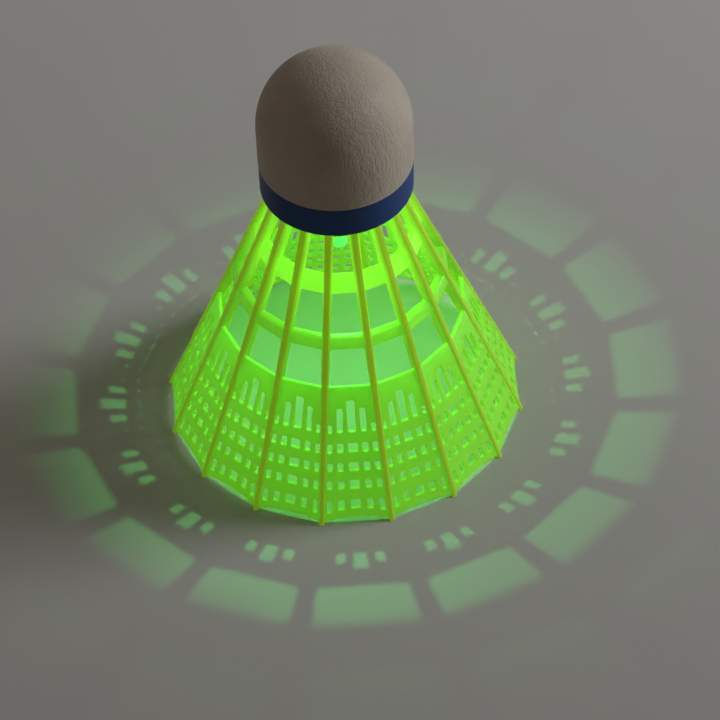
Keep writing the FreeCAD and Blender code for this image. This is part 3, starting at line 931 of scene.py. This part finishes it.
        ribs = [edge for edge in bm.edges
                if both(edge, side_of) in ((2, 2), (3, 3))
                and both(edge, column_of) in ((0, 0), (1, 1))]
        hoops = [edge for edge in bm.edges
                 if both(edge, side_of) in ((0, 0), (1, 1))
                 and both(edge, row_of) in ((13, 13), (14, 14), (15, 15), (16, 16), (12, 12))
                 and both(edge, column_of) not in ((0, 1),)
                 and len(edge.link_faces) == 2]
        corners = [edge for edge in bm.edges
                   if both(edge, side_of) == (0, 1) and 2 <= both(edge, column_of)[0]
                   and 2 <= both(edge, row_of)[0] <= 11]
        bevel(bm, corners, self.hole_corner)
        bevel(bm, [edge for edge in ribs if edge.is_valid], self.rib_edge, 3)
        bevel(bm, [edge for edge in hoops if edge.is_valid], self.hoop_edge)
        bmesh.ops.remove_doubles(bm, verts=bm.verts[:], dist=self.weld)
        bmesh.ops.dissolve_degenerate(bm, dist=self.weld, edges=bm.edges[:])

    def add_plug(self, bm: bmesh.types.BMesh) -> None:
        """Add the disc under the head and the barbed plug that goes up into it."""
        low = self.height - self.collar_height * MM
        inner_edge = 0.2 * MM
        barb, rise = 0.22 * MM, 0.8 * MM
        disc_radius = self.neck_radius - self.sheet_recess
        root = self.plug_radius - barb
        outline = [(self.plug_bore, low), (disc_radius - inner_edge, low),
                   (disc_radius, low + inner_edge), (disc_radius, self.height),
                   (root, self.height)]
        for start in (2.2 * MM, 5.2 * MM):
            foot = self.height + start
            outline += [(root, foot), (self.plug_radius, foot), (root, foot + rise)]
        top = self.height + self.plug_length
        outline += [(root, top - inner_edge), (root - inner_edge, top), (self.plug_bore, top)]
        lathe(bm, outline, 96)

    def build(self) -> bpy.types.Object:
        """Build the skirt and put it in its place.

        Returns:
            The skirt.
        """
        bm = bmesh.new()
        self.make_sheet(bm)
        self.thicken(bm)
        self.raise_ribs(bm, 0, self.outer_taper)
        self.raise_ribs(bm, 1, self.inner_taper)
        bmesh.ops.recalc_face_normals(bm, faces=bm.faces[:])
        self.round_edges(bm)
        self.add_plug(bm)
        return Piece("skirt", Body.SHUTTLE, Slot.NYLON, NylonFinish().material(),
                     ("skirt_frame", "skirt_vane"), 32.0).finish(bm)


# ---------------------------------------------------------------------- the head


@dataclass
class Head:
    """The domed head: soft cover, cork core and the tape band round its edge."""

    cover_wall: float = 0.45 * MM
    edge: float = 0.12 * MM
    band_wall: float = 0.4 * MM
    taper: float = 0.15 * MM
    lap_degrees: float = 24.0
    lap_height: float = 0.07 * MM
    lap_direction: float = 140.0
    unevenness: float = 0.05 * MM

    def __post_init__(self) -> None:
        """Read the head's sizes from the frame."""
        self.base, self.band_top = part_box("blue_band")[0].z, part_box("blue_band")[1].z
        self.cover_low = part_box("head_cover")[0].z
        self.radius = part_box("head_cover")[1].x
        self.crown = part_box("head_cover")[1].z
        self.dome_centre = self.crown - self.radius

    def drum(self, z: float, inset: float = 0.0) -> float:
        """Radius at height z of the tapered drum, this far inside the head's face."""
        share = (self.dome_centre - z) / (self.dome_centre - self.base)
        return self.radius - inset - self.taper * share

    def dome(self, inset: float, low: float, steps: int) -> Profile:
        """Outline of the dome and the drum under it, from the crown down to low."""
        spans = 6
        upper = arc((0.0, self.dome_centre), self.radius - inset, 90.0, 0.0, steps)
        upper[0] = (0.0, upper[0][1])
        levels = [self.dome_centre + (low - self.dome_centre) * step / spans
                  for step in range(1, spans + 1)]
        return upper + [(self.drum(z, inset), z) for z in levels]

    def build_cover(self) -> bpy.types.Object:
        """The soft cover over the cork, with its lower edge rolled in at the band."""
        low = self.cover_low
        outside = self.dome(0.0, low + self.edge, 40)
        inside = self.dome(self.cover_wall, low + self.edge, 20)
        roll = [(self.drum(low, self.edge), low),
                (self.drum(low, self.cover_wall - self.edge), low)]
        bm = bmesh.new()
        made = lathe(bm, outside + roll + inside[::-1], 144)
        for vert in made:
            height = (vert.co.z - self.cover_low) / (self.crown - self.cover_low)
            lift = noise.noise(vert.co / (6 * MM)) * self.unevenness * min(1.0, 4 * height)
            vert.co += vert.co.normalized() * min(lift, 0.0)
        return Piece("head_cover_finished", Body.SHUTTLE, Slot.COVER, CoverFinish().material(),
                     ("head_cover",)).finish(bm)

    def build_core(self) -> bpy.types.Object:
        """The bored cork core, seen as a ring under the head."""
        gap = 0.05 * MM
        inset = self.cover_wall + gap
        low_radius = self.drum(self.base, inset)
        plug, bore = 8.25 * MM, 6.1 * MM
        plug_top = self.base + 8.05 * MM
        bore_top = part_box("module_case")[1].z + gap
        outside = self.dome(inset, self.base + self.edge, 24)
        inside = [(low_radius - self.edge, self.base), (plug + self.edge, self.base),
                  (plug, self.base + self.edge), (plug, plug_top), (bore, plug_top),
                  (bore, bore_top), (0.0, bore_top)]
        bm = bmesh.new()
        lathe(bm, outside + inside, 96)
        return Piece("cork_core_finished", Body.SHUTTLE, Slot.CORK, CorkFinish().material(),
                     ("cork_core",)).finish(bm)

    def build_band(self) -> bpy.types.Object:
        """The tape band, whose end laps over its start."""
        low, high, edge = self.base, self.band_top, self.edge
        inner_low, inner_high = self.drum(low, self.band_wall), self.drum(high, self.band_wall)
        outline = [(inner_low, low), (self.drum(low, edge), low),
                   (self.drum(low), low + edge), (self.drum(high), high - edge),
                   (self.drum(high, edge), high), (inner_high, high)]
        bm = bmesh.new()
        made = lathe(bm, outline, 180)
        start = math.radians(self.lap_direction)
        for vert in made:
            turn = (math.atan2(vert.co.y, vert.co.x) - start) % FULL_TURN
            is_outer = math.hypot(vert.co.x, vert.co.y) > inner_high + edge
            if is_outer and turn > math.radians(self.lap_degrees):
                vert.co -= polar(self.lap_height, math.atan2(vert.co.y, vert.co.x), 0.0)
        return Piece("blue_band_finished", Body.SHUTTLE, Slot.TAPE, TapeFinish().material(),
                     ("blue_band",)).finish(bm)

    def build(self) -> None:
        """Build the three pieces of the head."""
        self.build_cover()
        self.build_core()
        self.build_band()


# --------------------------------------------------------------- the light module


@dataclass
class LightModule:
    """The module under the head: case, cap, board, cells, contacts, LED and switch."""

    edge: float = 0.12 * MM
    small_edge: float = 0.05 * MM
    dome_keep: float = 0.15

    def __post_init__(self) -> None:
        """Make the finishes that several pieces share."""
        self.white = MouldedFinish("module_plastic", (0.74, 0.74, 0.70)).material()
        self.steel = MetalFinish("cell_steel", (0.72, 0.71, 0.69)).material()
        self.contact = MetalFinish("contact_metal", (0.78, 0.66, 0.42), 0.3).material()

    def build_case(self) -> None:
        """The cup that holds the cells, with a bead round its mouth."""
        low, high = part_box("module_case")
        outer, wall, roof = high.x, 1.0 * MM, 0.9 * MM
        edge = self.edge * 2
        bead = [(outer - wall, low.z), (outer - edge, low.z), (outer, low.z + edge)]
        top = arc((outer - edge, high.z - edge), edge, 0.0, 90.0, 3)
        inside = [(0.0, high.z - roof), (outer - wall, high.z - roof)]
        bm = bmesh.new()
        lathe(bm, inside + bead + top + [(0.0, high.z)], 96)
        Piece("module_case_finished", Body.SHUTTLE, Slot.MODULE, self.white,
              ("module_case",)).finish(bm)

    def build_cells(self) -> None:
        """The three button cells, each with a crimped rim and a smaller lower cap."""
        for number in (1, 2, 3):
            node = "button_cell_%d" % number
            low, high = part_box(node)
            radius, cap, step, edge = high.x, 3.1 * MM, 0.3 * MM, 0.28 * MM
            shoulder = low.z + step
            outline = [(0.0, low.z), (cap - self.edge, low.z), (cap, low.z + self.edge),
                       (cap, shoulder), (cap + 0.25 * MM, shoulder - 0.06 * MM)]
            outline += arc((radius - edge, shoulder + edge), edge, -90.0, 0.0, 4)
            outline += arc((radius - edge, high.z - edge), edge, 0.0, 90.0, 4)
            outline += [(0.0, high.z)]
            bm = bmesh.new()
            lathe(bm, outline, 72)
            Piece(node + "_finished", Body.SHUTTLE, Slot.CELL, self.steel,
                  (node,)).finish(bm)

    def build_lens(self) -> bpy.types.Object:
        """The LED's domed epoxy body, with its flange."""
        low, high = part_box("led_lens")
        centre = ((low.x + high.x) / 2, (low.y + high.y) / 2)
        radius, flange, rim = 1.5 * MM, (high.x - low.x) / 2, 1.0 * MM
        edge = self.edge
        outline = arc((0.0, low.z + radius), radius, -90.0, 0.0, 16)
        outline[0] = (0.0, low.z)
        outline += [(radius, high.z - rim - edge), (radius + edge, high.z - rim),
                    (flange - edge, high.z - rim), (flange, high.z - rim + edge),
                    (flange, high.z - edge), (flange - edge, high.z), (0.0, high.z)]
        bm = bmesh.new()
        lathe(bm, outline, 64, centre)
        lens = Piece("led_lens_finished", Body.LIGHT_CAP, Slot.EPOXY, EpoxyFinish().material(),
                     ("led_lens",)).finish(bm)
        lens.visible_shadow = False
        return lens

    def build_button(self) -> None:
        """The push button, with a dished face."""
        low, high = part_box("switch_button")
        centre = ((low.x + high.x) / 2, (low.y + high.y) / 2)
        radius, collar, stem, dish = 0.95 * MM, 1.3 * MM, 0.8 * MM, 0.12 * MM
        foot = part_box("module_cap")[0].z + 1.35 * MM
        top = foot + 0.4 * MM
        outline = [(0.0, low.z + dish), (radius * 0.55, low.z + dish * 0.5),
                   (radius - self.edge, low.z), (radius, low.z + self.edge), (radius, foot),
                   (collar - self.small_edge, foot), (collar, foot + self.small_edge),
                   (collar, top), (stem, top), (stem, high.z - self.small_edge),
                   (stem - self.small_edge, high.z), (0.0, high.z)]
        bm = bmesh.new()
        lathe(bm, outline, 48, centre)
        finish = MouldedFinish("button_plastic", (0.80, 0.79, 0.74), 0.25)
        Piece("switch_button_finished", Body.BUTTON, Slot.BUTTON, finish.material(),
              ("switch_button",)).finish(bm)

    def build_copies(self) -> None:
        """The small flat pieces, as softened copies of their CAD shapes."""
        board = BoardFinish().material()
        black = MouldedFinish("switch_plastic", (0.02, 0.02, 0.022), 0.45).material()
        chip = MouldedFinish("resistor_body", (0.015, 0.015, 0.017), 0.3).material()
        film = MouldedFinish("sleeve_film", (0.75, 0.66, 0.16), 0.2).material()
        glow = GlowFinish().material()
        cap, shuttle = Body.LIGHT_CAP, Body.SHUTTLE
        dress_copy("module_cap", cap, Slot.MODULE, self.white, self.small_edge)
        dress_copy("circuit_board", cap, Slot.BOARD, board, self.small_edge)
        dress_copy("battery_leaf", cap, Slot.CONTACT, self.contact, self.small_edge)
        leads = dress_copy("led_lead_frame", cap, Slot.CONTACT, self.contact, self.small_edge)
        dress_copy("resistor", cap, Slot.RESISTOR, chip, self.small_edge)
        dress_copy("switch_body", cap, Slot.SWITCH, black, self.small_edge)
        dome = dress_copy("switch_dome", cap, Slot.CONTACT, self.contact, 0.01 * MM)
        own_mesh(dome)
        dress_copy("contact_strip", shuttle, Slot.CONTACT, self.contact, self.small_edge)
        dress_copy("cell_sleeve", shuttle, Slot.SLEEVE, film, 0.03 * MM)
        die = dress_copy("led_chip", cap, Slot.DIE, glow, 0.02 * MM)
        leads.visible_shadow = die.visible_shadow = False

    def build(self) -> None:
        """Build every piece of the module."""
        self.build_case()
        self.build_cells()
        self.build_lens()
        self.build_button()
        self.build_copies()


# --------------------------------------------------------------------- the studio


@dataclass
class Studio:
    """Floor, soft lights, the LED's own light and the camera."""

    floor_size: float = 6.0
    key_place: tuple[float, float, float] = (0.885, 0.205, 0.46)
    key_size: float = 0.42
    key_power: float = 6.3
    key_colour: Colour = (0.86, 0.94, 1.0)
    fill_place: tuple[float, float, float] = (-0.5, 0.3, 0.8)
    fill_power: float = 0.35
    world: Colour = (0.088, 0.078, 0.070)
    led_power: float = 0.050
    led_side_power: float = 0.006
    led_cone: float = 114.0
    led_blend: float = 0.30
    led_lean: tuple[float, float] = (-1.0, -3.0)
    led_colour: Colour = (0.14, 1.0, 0.22)
    led_rise: float = 1.4 * MM
    lens_mm: float = 279.5
    sensor_mm: float = 36.0
    elevation: float = 45.95
    roll: float = -2.19
    distance: float = 993.6 * MM
    aim: tuple[float, float, float] = (2.83 * MM, 0.0, 8.78 * MM)

    def build_floor(self) -> None:
        """The plain pale floor that the shuttlecock stands on."""
        bm = bmesh.new()
        bmesh.ops.create_grid(bm, x_segments=4, y_segments=4, size=self.floor_size / 2)
        mesh = bpy.data.meshes.new("floor")
        bm.to_mesh(mesh)
        bm.free()
        mesh.materials.append(FloorFinish().material())
        floor = bpy.data.objects.new("floor", mesh)
        bpy.context.scene.collection.objects.link(floor)

    def add_lamp(self, light: bpy.types.Light, place: Vector) -> bpy.types.Object:
        """Put a light in the scene.

        Args:
            light: The light.
            place: Where it stands.

        Returns:
            Its object.
        """
        lamp = bpy.data.objects.new(light.name, light)
        lamp.location = place
        bpy.context.scene.collection.objects.link(lamp)
        return lamp

    def area_light(self, name: str, place: tuple[float, float, float], power: float,
                   colour: Colour) -> None:
        """Add a soft square light that faces the shuttlecock.

        Args:
            name: Its name.
            place: Where it stands.
            power: Its power, in watts.
            colour: Its colour.
        """
        light = bpy.data.lights.new(name, "AREA")
        light.shape = "SQUARE"
        light.size = self.key_size
        light.energy = power
        light.color = colour
        middle = (CAD_BOX[0] + CAD_BOX[1]) / 2
        lamp = self.add_lamp(light, Vector(place))
        lamp.rotation_euler = (middle - lamp.location).to_track_quat("-Z", "Y").to_euler()

    def led_light(self, name: str, kind: str, power: float) -> None:
        """Add a part of the LED's light, which moves with the light cap.

        Args:
            name: Its name.
            kind: SPOT for the beam through the tip or POINT for the glow to the sides.
            power: Its power, in watts.
        """
        light = bpy.data.lights.new(name, kind)
        light.energy = power
        light.color = self.led_colour
        light.shadow_soft_size = 0.45 * MM
        if kind == "SPOT":
            light.spot_size = math.radians(self.led_cone)
            light.spot_blend = self.led_blend
        low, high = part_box("led_chip")
        place = Vector(((low.x + high.x) / 2, (low.y + high.y) / 2, low.z + self.led_rise))
        lamp = self.add_lamp(light, place)
        lamp.rotation_euler = (*(math.radians(turn) for turn in self.led_lean), 0.0)
        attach(lamp, Body.LIGHT_CAP.value)

    def build_lights(self) -> None:
        """Set the window-like key, the weak fill and the LED's green light."""
        self.area_light("key", self.key_place, self.key_power, self.key_colour)
        self.area_light("fill", self.fill_place, self.fill_power, (1.0, 0.95, 0.9))
        self.led_light("led_beam", "SPOT", self.led_power)
        self.led_light("led_glow", "POINT", self.led_side_power)
        background = bpy.data.worlds.new("studio")
        background.use_nodes = True
        shade = background.node_tree.nodes["Background"]
        shade.inputs["Color"].default_value = (*self.world, 1.0)
        bpy.context.scene.world = background
        bpy.context.scene.view_settings.view_transform = "Standard"

    def build_camera(self) -> None:
        """Set the camera above the front of the shuttlecock."""
        data = bpy.data.cameras.new("camera")
        data.lens = self.lens_mm
        data.sensor_width = self.sensor_mm
        data.clip_start, data.clip_end = 0.05, 20.0
        camera = bpy.data.objects.new("camera", data)
        tilt = math.radians(self.elevation)
        back = Vector((0, -math.cos(tilt), math.sin(tilt)))
        turn = back.to_track_quat("Z", "Y").to_matrix().to_4x4()
        roll = Matrix.Rotation(math.radians(self.roll), 4, "Z")
        place = Matrix.Translation(Vector(self.aim) + back * self.distance)
        camera.matrix_world = place @ turn @ roll
        bpy.context.scene.collection.objects.link(camera)
        bpy.context.scene.camera = camera

    def build(self) -> None:
        """Build the whole studio."""
        self.build_floor()
        self.build_lights()
        self.build_camera()


def main() -> None:
    """Build the studio and every sub-assembly in order."""
    logging.basicConfig(level=logging.INFO, format="%(name)s: %(message)s")
    builders: list[tuple[str, Callable[[], object]]] = [
        ("studio", Studio().build),
        ("skirt", Skirt().build),
        ("head", Head().build),
        ("light module", LightModule().build),
    ]
    for name, build in builders:
        build()
        LOG.info("built the %s", name)


if __name__ == "__main__":
    main()
